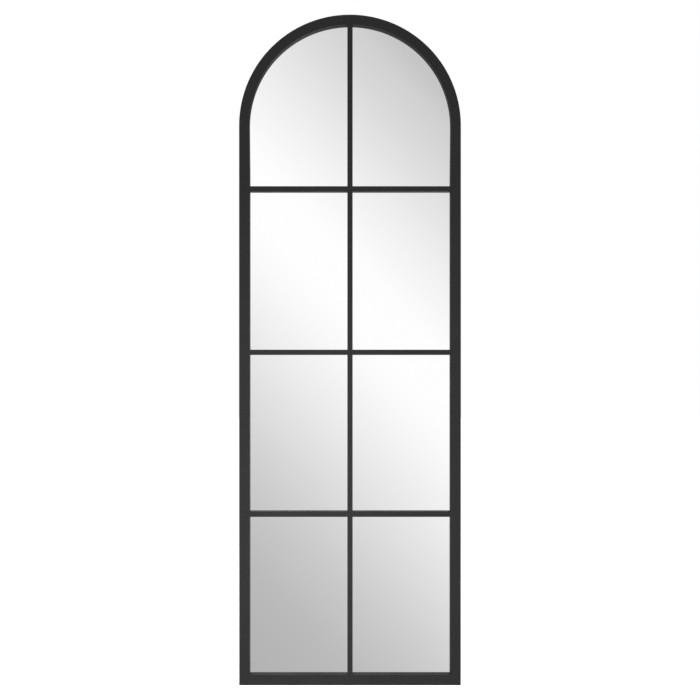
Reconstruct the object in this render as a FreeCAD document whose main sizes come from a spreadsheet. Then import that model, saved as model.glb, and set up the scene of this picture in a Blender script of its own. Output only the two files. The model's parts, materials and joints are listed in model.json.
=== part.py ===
# Arched window mirror, hung on a wall: a welded steel window frame in front of
# one sheet of mirror glass, with a rim behind it, a backing board screwed to
# welded lugs, and two ring hangers.
#
# Millimetres. +X is to the viewer's right, +Z is up and the mirror looks along
# -Y, so the wall is the plane Y = 0. The origin lies on the wall, midway
# between the two screws or hooks that the rings hang on.
import FreeCAD, Part
import math
import os

import Sketcher

os.makedirs("parts", exist_ok=True)
doc = FreeCAD.newDocument("arched_window_mirror")

# ---------------------------------------------------------------- sizes
SIZES = [
    ("overall_width", 533.4, "outside width, 21 inches"),
    ("overall_height", 1612.9, "bottom edge to crown of the arch, 63.5 inches"),
    ("overall_depth", 30.0, "front of the frame to the wall"),
    ("hook_height", 1290.0, "origin above the bottom edge"),
    ("tube_face", 25.4, "face of the stiles and the bottom rail, 1 inch"),
    ("arch_face", 24.2, "face of the bent tube, drawn in a little by the bending"),
    ("arch_leg", 120.0, "straight legs of the bent tube below the spring line"),
    ("tube_deep", 12.7, "depth of every tube, half an inch"),
    ("tube_wall", 1.2, "wall of every tube"),
    ("edge_round", 0.8, "long corners of the tubes"),
    ("corner_round", 2.0, "bottom outer corners of the frame"),
    ("muntin_face", 12.7, "square tube of the window bars, half an inch"),
    ("muntin_cope", 0.45, "lip of a bar's end over the rounded edge it meets"),
    ("bar_low", 411.4, "centre of the lowest bar above the bottom edge"),
    ("bar_mid", 800.8, "centre of the middle bar above the bottom edge"),
    ("bar_top", 1194.0, "centre of the highest bar above the bottom edge"),
    ("rim_thick", 3.0, "flat bar on edge behind the tubes"),
    ("rim_gap", 1.0, "rim's rear edge in front of the wall"),
    ("rim_round", 0.5, "rear edges of the rim"),
    ("tape_thick", 0.8, "double-sided glazing tape"),
    ("tape_wide", 5.5, "width of the tape round the glass"),
    ("tape_inset", 0.5, "tape's inner edge behind the tube's inner edge"),
    ("bar_tape_wide", 8.0, "width of the tape behind the bars"),
    ("glass_thick", 4.0, "silvered sheet"),
    ("glass_overlap", 6.2, "glass behind the tubes"),
    ("foam_thick", 1.5, "foam sheet behind the glass"),
    ("foam_inset", 1.5, "foam smaller than the glass all round"),
    ("board_thick", 3.0, "backing board"),
    ("board_gap", 1.0, "board smaller than the rim all round"),
    ("board_hole", 2.25, "clearance holes in the board, radius"),
    ("lug_wide", 12.0, "board lug across the rim"),
    ("lug_long", 20.0, "board lug along the rim"),
    ("lug_inset", 0.4, "lugs on the arch in front of the curved rim"),
    ("fixing_inset", 9.2, "board screws from the frame's outer edge"),
    ("thread_rad", 2.0, "M4 thread drawn plain, in the lug"),
    ("shank_rad", 1.95, "M4 thread drawn plain, on the screw"),
    ("head_rad", 4.0, "pan head"),
    ("head_high", 2.4, "pan head"),
    ("head_round", 1.1, "pan head's edge"),
    ("recess_wide", 0.9, "cross recess"),
    ("recess_long", 4.4, "cross recess"),
    ("recess_deep", 1.4, "cross recess"),
    ("board_screw_long", 8.0, "M4 under the head"),
    ("hanger_screw_long", 10.0, "M4 under the head"),
    ("block_long", 40.0, "setting block under the glass"),
    ("block_place", 60.0, "setting block's centre from the middle"),
    ("hanger_place", 254.5, "ring hanger's centre from the middle"),
    ("hook_rise", 10.5, "wall screw above the ring's hinge"),
    ("strap_wide", 9.6, "hanger strap"),
    ("strap_thick", 1.2, "hanger strap"),
    ("strap_long", 42.0, "hinge to the strap's rounded end"),
    ("strap_screw_one", 21.0, "hinge to the upper hanger screw"),
    ("strap_screw_two", 35.5, "hinge to the lower hanger screw"),
    ("hinge_deep", 5.2, "ring's hinge in front of the wall"),
    ("hinge_play", 0.06, "ring in the strap's eye, on the radius"),
    ("wire_rad", 1.25, "ring's wire"),
    ("ring_half", 6.95, "middle of the wire from the ring's middle"),
    ("ring_bend", 2.0, "bends beside the ring's straight side"),
    ("ring_reach", 13.75, "hinge to the middle of the wire at the ring's end"),
    ("hanger_lug_top", 3.0, "hanger lug above the hinge"),
    ("hanger_lug_low", 46.0, "hanger lug's lower end below the hinge"),
    ("hanger_lug_wide", 14.2, "hanger lug across the rim"),
    ("bumper_rad", 6.0, "rubber bumper on the board"),
    ("bumper_tip", 4.6, "bumper's flat face, radius"),
    ("bumper_place", 236.0, "bumper's centre from the middle"),
    ("bumper_high", 46.0, "bumper's centre above the bottom edge"),
]
sheet = doc.addObject("Spreadsheet::Sheet", "Sizes")
for line, (alias, value, note) in enumerate(SIZES, start=1):
    sheet.set("A%d" % line, alias)
    sheet.set("B%d" % line, repr(value))
    sheet.set("C%d" % line, note)
    sheet.setAlias("B%d" % line, alias)
doc.recompute()


class Dim:
    """A size with the sheet expression that gives it."""

    def __init__(self, value, text):
        self.value = float(value)
        self.text = text

    @staticmethod
    def of(other):
        return other if isinstance(other, Dim) else Dim(other, repr(float(other)))

    def __add__(self, other):
        other = Dim.of(other)
        return Dim(self.value + other.value, "(%s + %s)" % (self.text, other.text))

    def __sub__(self, other):
        other = Dim.of(other)
        return Dim(self.value - other.value, "(%s - %s)" % (self.text, other.text))

    def __mul__(self, other):
        other = Dim.of(other)
        return Dim(self.value * other.value, "(%s * %s)" % (self.text, other.text))

    def __truediv__(self, other):
        other = Dim.of(other)
        return Dim(self.value / other.value, "(%s / %s)" % (self.text, other.text))

    def __neg__(self):
        return Dim(-self.value, "(0 - %s)" % self.text)


D = {alias: Dim(value, "Sizes." + alias) for alias, value, note in SIZES}
ZERO = Dim(0.0, "0")


def bind(thing, prop, dim):
    thing.setExpression(prop, dim.text)


# Levels that several pieces share.
half_wide = D["overall_width"] / 2
z_low = -D["hook_height"]
z_crown = D["overall_height"] - D["hook_height"]
z_spring = z_crown - half_wide
z_leg = z_spring - D["arch_leg"]
sight = half_wide - D["tube_face"]
arch_in = half_wide - D["arch_face"]
z_rail = z_low + D["tube_face"]
y_front = -D["overall_depth"]
y_tube = y_front + D["tube_deep"]
y_glass = y_tube + D["tape_thick"]
y_foam = y_glass + D["glass_thick"]
y_board = y_foam + D["foam_thick"]
y_back = y_board + D["board_thick"]
y_rim = -D["rim_gap"]
y_strap = y_back + D["strap_thick"]
glass_half = sight + D["glass_overlap"]
z_glass = z_rail - D["glass_overlap"]
board_half = half_wide - D["rim_thick"] - D["board_gap"]
z_board = z_low + D["rim_thick"] + D["board_gap"]
z_hinge = -D["hook_rise"]
y_hinge = -D["hinge_deep"]

nodes = {}


def keep(thing, name):
    """The object's Label names its node and its file."""
    thing.Label = name
    nodes[name] = thing
    return thing


# ---------------------------------------------------------------- sketch tools
def origin_plane(body, role):
    return next(f for f in body.Origin.OriginFeatures if f.Role == role)


def sketch_on(body, name, role, offset):
    """A sketch on one of the body's own origin planes, moved along its normal."""
    sk = body.newObject("Sketcher::SketchObject", name)
    sk.AttachmentSupport = [(origin_plane(body, role), "")]
    sk.MapMode = "FlatFace"
    bind(sk, "AttachmentOffset.Base.z", offset)
    return sk


def pin(sk, geo, pos, u, v, tag):
    """Holds a point of the sketch by two driving distances from the origin."""
    for kind, dim in (("DistanceX", u), ("DistanceY", v)):
        index = sk.addConstraint(
            Sketcher.Constraint(kind, -1, 1, geo, pos, dim.value)
        )
        label = "%s_%s" % (tag, kind[-1].lower())
        sk.renameConstraint(index, label)
        bind(sk, "Constraints." + label, dim)


def outline(sk, corners, bends=None, tag="p"):
    """A closed outline through the corners. bends[i] is the (u, v) centre and
    the turn, +1 anticlockwise or -1 clockwise, of an arc from corner i on."""
    bends = bends or {}
    count = len(corners)
    first = sk.GeometryCount
    for i in range(count):
        (u0, v0), (u1, v1) = corners[i], corners[(i + 1) % count]
        a = FreeCAD.Vector(u0.value, v0.value, 0)
        b = FreeCAD.Vector(u1.value, v1.value, 0)
        if i in bends:
            cu, cv, turn = bends[i]
            centre = FreeCAD.Vector(cu.value, cv.value, 0)
            radius = (a - centre).Length
            start = math.atan2(a.y - centre.y, a.x - centre.x)
            end = math.atan2(b.y - centre.y, b.x - centre.x)
            if turn < 0:
                start, end = end, start
            circle = Part.Circle(centre, FreeCAD.Vector(0, 0, 1), radius)
            sk.addGeometry(Part.ArcOfCircle(circle, start, end), False)
        else:
            sk.addGeometry(Part.LineSegment(a, b), False)

    def ends(i):
        """The point numbers of edge i's start and end, along the outline."""
        return (2, 1) if i in bends and bends[i][2] < 0 else (1, 2)

    for i in range(count):
        j = (i + 1) % count
        sk.addConstraint(
            Sketcher.Constraint(
                "Coincident", first + i, ends(i)[1], first + j, ends(j)[0]
            )
        )
    for i, (u, v) in enumerate(corners):
        pin(sk, first + i, ends(i)[0], u, v, "%s%d" % (tag, i))
    for i, (cu, cv, turn) in bends.items():
        # The two ends already hold one of the centre's coordinates.
        (u0, v0), (u1, v1) = corners[i], corners[(i + 1) % count]
        along_u = abs(u1.value - u0.value) > abs(v1.value - v0.value)
        kind, dim = ("DistanceY", cv) if along_u else ("DistanceX", cu)
        index = sk.addConstraint(
            Sketcher.Constraint(kind, -1, 1, first + i, 3, dim.value)
        )
        label = "%s%d_c" % (tag, i)
        sk.renameConstraint(index, label)
        bind(sk, "Constraints." + label, dim)


def hole(sk, u, v, radius, tag):
    index = sk.addGeometry(
        Part.Circle(
            FreeCAD.Vector(u.value, v.value, 0), FreeCAD.Vector(0, 0, 1), radius.value
        ),
        False,
    )
    number = sk.addConstraint(Sketcher.Constraint("Radius", index, radius.value))
    sk.renameConstraint(number, tag + "_r")
    bind(sk, "Constraints." + tag + "_r", radius)
    if u is ZERO and v is ZERO:
        sk.addConstraint(Sketcher.Constraint("Coincident", index, 3, -1, 1))
    else:
        pin(sk, index, 3, u, v, tag)


def rect(u0, v0, u1, v1):
    return [(u0, v0), (u1, v0), (u1, v1), (u0, v1)]


def pad(body, sk, name, length):
    feature = body.newObject("PartDesign::Pad", name)
    feature.Profile = sk
    bind(feature, "Length", length)
    sk.Visibility = False
    return feature


def pocket(body, sk, name, length):
    """Cuts from the sketch against its normal, and must take something away."""
    doc.recompute()
    before = body.Shape.Volume
    feature = body.newObject("PartDesign::Pocket", name)
    feature.Profile = sk
    bind(feature, "Length", length)
    doc.recompute()
    if not body.Shape.Volume < before - 1e-3:
        raise SystemExit("%s of %s cuts nothing" % (name, body.Name))
    return feature


def soften(body, radius, wanted, name="soft_edges"):
    """Rounds the edges of the body that the test picks."""
    doc.recompute()
    base = body.Tip
    picked = [
        "Edge%d" % i for i, edge in enumerate(base.Shape.Edges, start=1) if wanted(edge)
    ]
    if not picked:
        raise SystemExit("no edge to round on " + body.Name)
    feature = body.newObject("PartDesign::Fillet", name)
    feature.Base = (base, picked)
    bind(feature, "Radius", radius)
    doc.recompute()
    return feature


def new_body(name):
    body = doc.addObject("PartDesign::Body", name)
    return body


def on_level(edge, y):
    """The whole edge lies in the plane at this y."""
    return all(
        abs(edge.valueAt(t).y - y.value) < 1e-4
        for t in (edge.FirstParameter, edge.LastParameter)
    )


def front_panel(name, corners, bends, y_rear, deep):
    """An outline seen from the front, padded forward from y_rear."""
    body = new_body(name)
    sk = sketch_on(body, name + "_outline", "XZ_Plane", -y_rear)
    outline(sk, corners, bends)
    pad(body, sk, name + "_pad", deep)
    return body


def hollow(body, corners, bends):
    """Takes the inside out of a tube, leaving its front and rear walls."""
    sk = sketch_on(
        body, body.Name + "_inside", "XZ_Plane", -(y_front + D["tube_wall"])
    )
    outline(sk, corners, bends)
    return pocket(body, sk, body.Name + "_bore", D["tube_deep"] - D["tube_wall"] * 2)


# ---------------------------------------------------------------- front frame
# The bent tube: half a circle with two straight legs. Its face is a little
# narrower than the stiles' and widens to theirs down the legs.
one = Dim(1.0, "1")
two = Dim(2.0, "2")
wall = D["tube_wall"]
arch = front_panel(
    "arch_tube",
    [
        (-half_wide, z_leg),
        (-half_wide, z_spring),
        (half_wide, z_spring),
        (half_wide, z_leg),
        (sight, z_leg),
        (arch_in, z_spring),
        (-arch_in, z_spring),
        (-sight, z_leg),
    ],
    {1: (ZERO, z_spring, -1), 5: (ZERO, z_spring, 1)},
    y_tube,
    D["tube_deep"],
)
soften(
    arch,
    D["edge_round"],
    lambda e: on_level(e, y_front)
    and not all(abs(v.Point.z - z_leg.value) < 1e-4 for v in e.Vertexes),
)
hollow(
    arch,
    [
        (-half_wide + wall, z_leg - two),
        (-half_wide + wall, z_spring),
        (half_wide - wall, z_spring),
        (half_wide - wall, z_leg - two),
        (sight + wall, z_leg - two),
        (arch_in + wall, z_spring),
        (-arch_in - wall, z_spring),
        (-sight - wall, z_leg - two),
    ],
    {1: (ZERO, z_spring, -1), 5: (ZERO, z_spring, 1)},
)
keep(arch, "arch_tube")

# The stiles, mitred at the foot, where the corner is a little rounded.
corner = D["corner_round"]
nick = corner * (1.0 - math.sqrt(0.5))


def stile(name, side):
    s = Dim(float(side), "%d" % side)
    body = front_panel(
        name,
        [
            (s * half_wide, z_leg),
            (s * sight, z_leg),
            (s * sight, z_rail),
            (s * (half_wide - nick), z_low + nick),
            (s * half_wide, z_low + corner),
        ],
        {3: (s * (half_wide - corner), z_low + corner, side)},
        y_tube,
        D["tube_deep"],
    )
    soften(
        body,
        D["edge_round"],
        lambda e: on_level(e, y_front)
        and (
            all(abs(abs(v.Point.x) - half_wide.value) < 1e-4 for v in e.Vertexes)
            or all(abs(abs(v.Point.x) - sight.value) < 1e-4 for v in e.Vertexes)
            or e.Curve.TypeId == "Part::GeomCircle"
        ),
    )
    hollow(
        body,
        [
            (s * (half_wide - wall), z_leg + two),
            (s * (sight + wall), z_leg + two),
            (s * (sight + wall), z_rail - wall - two),
            (s * (half_wide - wall), z_low + wall - two),
        ],
        None,
    )
    return keep(body, name)


left_stile = stile("left_stile_tube", -1)
right_stile = stile("right_stile_tube", 1)

rail = front_panel(
    "bottom_rail_tube",
    [
        (-half_wide + nick, z_low + nick),
        (-half_wide + corner, z_low),
        (half_wide - corner, z_low),
        (half_wide - nick, z_low + nick),
        (sight, z_rail),
        (-sight, z_rail),
    ],
    {
        0: (-half_wide + corner, z_low + corner, 1),
        2: (half_wide - corner, z_low + corner, 1),
    },
    y_tube,
    D["tube_deep"],
)
soften(
    rail,
    D["edge_round"],
    lambda e: on_level(e, y_front)
    and (
        all(abs(v.Point.z - z_low.value) < 1e-4 for v in e.Vertexes)
        or all(abs(v.Point.z - z_rail.value) < 1e-4 for v in e.Vertexes)
        or e.Curve.TypeId == "Part::GeomCircle"
    ),
)
hollow(
    rail,
    [
        (-half_wide + wall - two, z_low + wall),
        (half_wide - wall + two, z_low + wall),
        (sight + wall + two, z_rail - wall),
        (-sight - wall - two, z_rail - wall),
    ],
    None,
)
keep(rail, "bottom_rail_tube")

# ---------------------------------------------------------------- window bars
# Square tube. Each end is coped to the rounded edge that it is welded to, so
# that the faces run into each other with no groove.
bar_half = D["muntin_face"] / 2
cope = D["muntin_cope"]


def bar_stock(name, x0, z0, x1, z1, across):
    body = front_panel(name, rect(x0, z0, x1, z1), None, y_tube, D["tube_deep"])
    if across:
        soften(
            body,
            D["edge_round"],
            lambda e: on_level(e, y_front)
            and abs(e.Vertexes[0].Point.z - e.Vertexes[1].Point.z) < 1e-4,
        )
        inside = rect(x0 - two, z0 + wall, x1 + two, z1 - wall)
    else:
        soften(
            body,
            D["edge_round"],
            lambda e: on_level(e, y_front)
            and abs(e.Vertexes[0].Point.x - e.Vertexes[1].Point.x) < 1e-4,
        )
        inside = rect(x0 + wall, z0 - two, x1 - wall, z1 + two)
    hollow(body, inside, None)
    return body


def cut_from(name, base, tool):
    thing = doc.addObject("Part::Cut", name)
    thing.Base = base
    thing.Tool = tool
    return thing


# The upright bar runs from the rail to the crown; its top end follows the
# inside of the bent tube.
upright = bar_stock(
    "upright_stock",
    -bar_half,
    z_rail - cope,
    bar_half,
    z_spring + arch_in + cope,
    False,
)
upright_top = cut_from("upright_top_coped", upright, arch)
vertical = keep(cut_from("upright_coped", upright_top, rail), "vertical_muntin")

BARS = [("upper", D["bar_top"]), ("middle", D["bar_mid"]), ("lower", D["bar_low"])]
for word, height in BARS:
    z0 = z_low + height - bar_half
    z1 = z_low + height + bar_half
    for side_word, side, post in (("left", -1, left_stile), ("right", 1, right_stile)):
        name = "%s_%s_muntin" % (word, side_word)
        near, far = bar_half - cope, sight + cope
        x0, x1 = (near, far) if side > 0 else (-far, -near)
        stock = bar_stock(name + "_stock", x0, z0, x1, z1, True)
        outer_end = cut_from(name + "_outer_end", stock, post)
        keep(cut_from(name + "_coped", outer_end, vertical), name)

# ---------------------------------------------------------------- rim
rim_deep = y_rim - y_tube
rim = D["rim_thick"]


def rim_edges(e):
    """Both long rear edges, where the rim faces the wall."""
    return on_level(e, y_rim) and e.Length > 3.05


def side_rim(name, side):
    s = Dim(float(side), "%d" % side)
    body = front_panel(
        name,
        [
            (s * half_wide, z_spring),
            (s * (half_wide - rim), z_spring),
            (s * (half_wide - rim), z_low),
            (s * (half_wide - corner), z_low),
            (s * half_wide, z_low + corner),
        ],
        {3: (s * (half_wide - corner), z_low + corner, side)},
        y_rim,
        rim_deep,
    )
    soften(body, D["rim_round"], rim_edges)
    return keep(body, name)


side_rim("left_rim", -1)
side_rim("right_rim", 1)

bottom_rim = front_panel(
    "bottom_rim",
    rect(-half_wide + rim, z_low, half_wide - rim, z_low + rim),
    None,
    y_rim,
    rim_deep,
)
soften(bottom_rim, D["rim_round"], rim_edges)
keep(bottom_rim, "bottom_rim")

arch_rim = front_panel(
    "arch_rim",
    [
        (-half_wide, z_spring),
        (half_wide, z_spring),
        (half_wide - rim, z_spring),
        (-half_wide + rim, z_spring),
    ],
    {0: (ZERO, z_spring, -1), 2: (ZERO, z_spring, 1)},
    y_rim,
    rim_deep,
)
soften(arch_rim, D["rim_round"], rim_edges)
keep(arch_rim, "arch_rim")


# ---------------------------------------------------------------- glazing
def window(inset_half, z_foot):
    """The outline of a sheet that follows the frame: half its width and its
    foot. The arch keeps the frame's centre."""
    corners = [
        (-inset_half, z_foot),
        (-inset_half, z_spring),
        (inset_half, z_spring),
        (inset_half, z_foot),
    ]
    return corners, {1: (ZERO, z_spring, -1)}


tape_in = sight + D["tape_inset"]
tape_out = tape_in + D["tape_wide"]
tape = new_body("glazing_tape")
sk = sketch_on(tape, "tape_outline", "XZ_Plane", -y_glass)
corners, bends = window(tape_out, z_rail - D["tape_inset"] - D["tape_wide"])
outline(sk, corners, bends, "a")
corners, bends = window(tape_in, z_rail - D["tape_inset"])
outline(sk, corners, bends, "b")
pad(tape, sk, "tape_pad", D["tape_thick"])
keep(tape, "glazing_tape")


def box(name, x0, x1, y0, y1, z0, z1):
    thing = doc.addObject("Part::Box", name)
    bind(thing, "Length", x1 - x0)
    bind(thing, "Width", y1 - y0)
    bind(thing, "Height", z1 - z0)
    bind(thing, "Placement.Base.x", x0)
    bind(thing, "Placement.Base.y", y0)
    bind(thing, "Placement.Base.z", z0)
    return thing


def group(name, things):
    thing = doc.addObject("Part::Compound", name + "_group")
    thing.Links = things
    return keep(thing, name)


strip = D["bar_tape_wide"] / 2
strips = [
    box("strip_upright", -strip, strip, y_tube, y_glass, z_rail, z_spring + arch_in - two)
]
for word, height in BARS:
    zc = z_low + height
    for side_word, side in (("left", -1), ("right", 1)):
        x0, x1 = (strip, sight) if side > 0 else (-sight, -strip)
        strips.append(
            box("strip_%s_%s" % (word, side_word), x0, x1, y_tube, y_glass, zc - strip, zc + strip)
        )
group("muntin_tape", strips)

corners, bends = window(glass_half, z_glass)
keep(front_panel("mirror_glass", corners, bends, y_foam, D["glass_thick"]), "mirror_glass")

inset = D["foam_inset"]
corners, bends = window(glass_half - inset, z_glass + inset)
keep(front_panel("foam_sheet", corners, bends, y_board, D["foam_thick"]), "foam_sheet")

# The sheet stands on two blocks on the bottom rim.
blocks = []
for side_word, side in (("left", -1.0), ("right", 1.0)):
    xc = D["block_place"] * side
    blocks.append(
        box(
            "block_" + side_word,
            xc - D["block_long"] / 2,
            xc + D["block_long"] / 2,
            y_tube,
            y_board,
            z_low + rim,
            z_glass,
        )
    )
group("setting_blocks", blocks)

# ---------------------------------------------------------------- board fixings
# Screws through the board into lugs that are welded to the tubes beside the
# rim: up both stiles, along the rail and round the arch.
line_half = half_wide - D["fixing_inset"]
FIXINGS = []
for z in (1226.0, 906.0, 586.0, 266.0):
    for side in (-1.0, 1.0):
        FIXINGS.append((line_half * side, Dim(-z, repr(-z)), 0.0 if side > 0 else 180.0))
for x in (-150.0, 150.0):
    FIXINGS.append((Dim(x, repr(x)), z_low + D["fixing_inset"], 270.0))
for angle in (14.0, 52.0, 90.0, 128.0, 166.0):
    c, s = math.cos(math.radians(angle)), math.sin(math.radians(angle))
    FIXINGS.append((line_half * c, z_spring + line_half * s, angle))

screw_one = z_hinge - D["strap_screw_one"]
screw_two = z_hinge - D["strap_screw_two"]
HANGER_FIXINGS = [
    (D["hanger_place"] * side, z)
    for side in (-1.0, 1.0)
    for z in (screw_one, screw_two)
]

board = new_body("backing_board")
sk = sketch_on(board, "board_outline", "XZ_Plane", -y_back)
corners, bends = window(board_half, z_board)
outline(sk, corners, bends)
pad(board, sk, "board_pad", D["board_thick"])
sk = sketch_on(board, "board_holes", "XZ_Plane", -y_board)
for i, (x, z, angle) in enumerate(FIXINGS):
    if abs(x.value) < 1e-6:
        # The crown's hole is held on the centre line.
        index = sk.addGeometry(
            Part.Circle(
                FreeCAD.Vector(0, z.value, 0),
                FreeCAD.Vector(0, 0, 1),
                D["board_hole"].value,
            ),
            False,
        )
        number = sk.addConstraint(
            Sketcher.Constraint("Radius", index, D["board_hole"].value)
        )
        sk.renameConstraint(number, "crown_r")
        bind(sk, "Constraints.crown_r", D["board_hole"])
        sk.addConstraint(Sketcher.Constraint("PointOnObject", index, 3, -2))
        number = sk.addConstraint(
            Sketcher.Constraint("DistanceY", -1, 1, index, 3, z.value)
        )
        sk.renameConstraint(number, "crown_y")
        bind(sk, "Constraints.crown_y", z)
    else:
        hole(sk, x, z, D["board_hole"], "f%d" % i)
for i, (x, z) in enumerate(HANGER_FIXINGS):
    hole(sk, x, z, D["board_hole"], "g%d" % i)
pocket(board, sk, "board_drilling", D["board_thick"] + one)
keep(board, "backing_board")


def lug(name, wide, long, centre_out, z_off, x, z, angle, holes):
    """A block standing on the tubes' rear faces. It is drawn along its own
    radius, with its holes, then turned to its place on the frame."""
    block = doc.addObject("Part::Box", name + "_block")
    bind(block, "Length", wide)
    bind(block, "Width", y_board - y_tube)
    bind(block, "Height", long)
    bind(block, "Placement.Base.x", -centre_out)
    bind(block, "Placement.Base.z", -z_off)
    drilled = block
    for i, dz in enumerate(holes):
        drill = doc.addObject("Part::Cylinder", "%s_drill%d" % (name, i))
        bind(drill, "Radius", D["thread_rad"])
        bind(drill, "Height", y_board - y_tube + two)
        drill.Placement.Rotation = FreeCAD.Rotation(FreeCAD.Vector(1, 0, 0), -90)
        bind(drill, "Placement.Base.y", -one)
        bind(drill, "Placement.Base.z", dz)
        drilled = cut_from("%s_drilled%d" % (name, i), drilled, drill)
    drilled.Placement.Rotation = FreeCAD.Rotation(FreeCAD.Vector(0, -1, 0), angle)
    bind(drilled, "Placement.Base.x", x)
    bind(drilled, "Placement.Base.y", y_tube)
    bind(drilled, "Placement.Base.z", z)
    return drilled


lugs = []
for i, (x, z, angle) in enumerate(FIXINGS):
    straight = angle in (0.0, 180.0, 270.0)
    # From the screw out to the rim's inner face.
    outward = D["fixing_inset"] - rim - (ZERO if straight else D["lug_inset"])
    lugs.append(
        lug(
            "lug%02d" % i,
            D["lug_wide"],
            D["lug_long"],
            D["lug_wide"] - outward,
            D["lug_long"] / 2,
            x,
            z,
            angle,
            [ZERO],
        )
    )
group("board_lugs", lugs)

hanger_out = half_wide - D["hanger_place"] - rim
for side_word, side, angle in (("left", -1.0, 180.0), ("right", 1.0, 0.0)):
    # Turned half round, the left lug's holes and ends change places.
    if side > 0:
        foot, holes = D["hanger_lug_low"], [-D["strap_screw_one"], -D["strap_screw_two"]]
    else:
        foot, holes = D["hanger_lug_top"], [D["strap_screw_one"], D["strap_screw_two"]]
    piece = lug(
        "hanger_lug_" + side_word,
        D["hanger_lug_wide"],
        D["hanger_lug_low"] + D["hanger_lug_top"],
        D["hanger_lug_wide"] - hanger_out,
        foot,
        D["hanger_place"] * side,
        z_hinge,
        angle,
        holes,
    )
    keep(piece, side_word + "_hanger_lug")


# ---------------------------------------------------------------- screws
def screw(name, long):
    """A pan-head machine screw about the Y axis, its head's underside at Y = 0
    and its shank towards -Y."""
    body = new_body(name)
    sk = sketch_on(body, name + "_profile", "XY_Plane", ZERO)
    tip = Dim(0.4, "0.4")
    shank = D["shank_rad"]
    pts = [
        (0.0, D["head_high"]),
        (D["head_rad"] - D["head_round"], D["head_high"]),
        (D["head_rad"], D["head_high"] - D["head_round"]),
        (D["head_rad"], 0.0),
        (shank, 0.0),
        (shank, -long + tip),
        (shank - tip, -long),
        (0.0, -long),
    ]
    vecs = []
    for u, v in pts:
        vecs.append((Dim.of(u), Dim.of(v)))
    count = len(vecs)
    for i in range(count):
        a, b = vecs[i], vecs[(i + 1) % count]
        p = FreeCAD.Vector(a[0].value, a[1].value, 0)
        q = FreeCAD.Vector(b[0].value, b[1].value, 0)
        if i == 1:
            centre = FreeCAD.Vector(p.x, q.y, 0)
            circle = Part.Circle(centre, FreeCAD.Vector(0, 0, 1), D["head_round"].value)
            sk.addGeometry(Part.ArcOfCircle(circle, 0.0, math.pi / 2), False)
        else:
            sk.addGeometry(Part.LineSegment(p, q), False)

    def ends(i):
        return (2, 1) if i == 1 else (1, 2)

    for i in range(count):
        j = (i + 1) % count
        sk.addConstraint(
            Sketcher.Constraint("Coincident", i, ends(i)[1], j, ends(j)[0])
        )
    for i, (u, v) in enumerate(vecs):
        for kind, dim, axis in (("DistanceX", u, -2), ("DistanceY", v, -1)):
            if abs(dim.value) < 1e-9:
                sk.addConstraint(
                    Sketcher.Constraint("PointOnObject", i, ends(i)[0], axis)
                )
            else:
                index = sk.addConstraint(
                    Sketcher.Constraint(kind, -1, 1, i, ends(i)[0], dim.value)
                )
                label = "q%d_%s" % (i, kind[-1].lower())
                sk.renameConstraint(index, label)
                bind(sk, "Constraints." + label, dim)
    index = sk.addConstraint(
        Sketcher.Constraint("Radius", 1, D["head_round"].value)
    )
    sk.renameConstraint(index, "head_round")
    bind(sk, "Constraints.head_round", D["head_round"])
    turn = body.newObject("PartDesign::Revolution", name + "_turn")
    turn.Profile = sk
    turn.ReferenceAxis = (sk, ["V_Axis"])
    turn.Angle = 360.0
    # The cross recess, cut down from the top of the head.
    a, b = D["recess_wide"] / 2, D["recess_long"] / 2
    sk = sketch_on(body, name + "_cross", "XZ_Plane", -D["head_high"])
    outline(
        sk,
        [
            (-b, -a), (-a, -a), (-a, -b), (a, -b), (a, -a), (b, -a),
            (b, a), (a, a), (a, b), (-a, b), (-a, a), (-b, a),
        ],
    )
    doc.recompute()
    before = body.Shape.Volume
    cut = body.newObject("PartDesign::Pocket", name + "_recess")
    cut.Profile = sk
    # Towards -Y, which is along this plane's normal.
    cut.Reversed = True
    bind(cut, "Length", D["recess_deep"])
    doc.recompute()
    if not body.Shape.Volume < before - 1.0:
        raise SystemExit("the recess of %s cuts nothing" % name)
    return body


def placed(name, master, x, y, z):
    link = doc.addObject("App::Link", name)
    link.LinkedObject = master
    link.LinkTransform = True
    bind(link, "Placement.Base.x", x)
    bind(link, "Placement.Base.y", y)
    bind(link, "Placement.Base.z", z)
    return link


board_screw = screw("board_screw_master", D["board_screw_long"])
hanger_screw = screw("hanger_screw_master", D["hanger_screw_long"])
group(
    "board_screws",
    [
        placed("board_screw%02d" % i, board_screw, x, y_back, z)
        for i, (x, z, angle) in enumerate(FIXINGS)
    ],
)
group(
    "hanger_screws",
    [
        placed("hanger_screw%d" % i, hanger_screw, x, y_strap, z)
        for i, (x, z) in enumerate(HANGER_FIXINGS)
    ],
)

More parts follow.
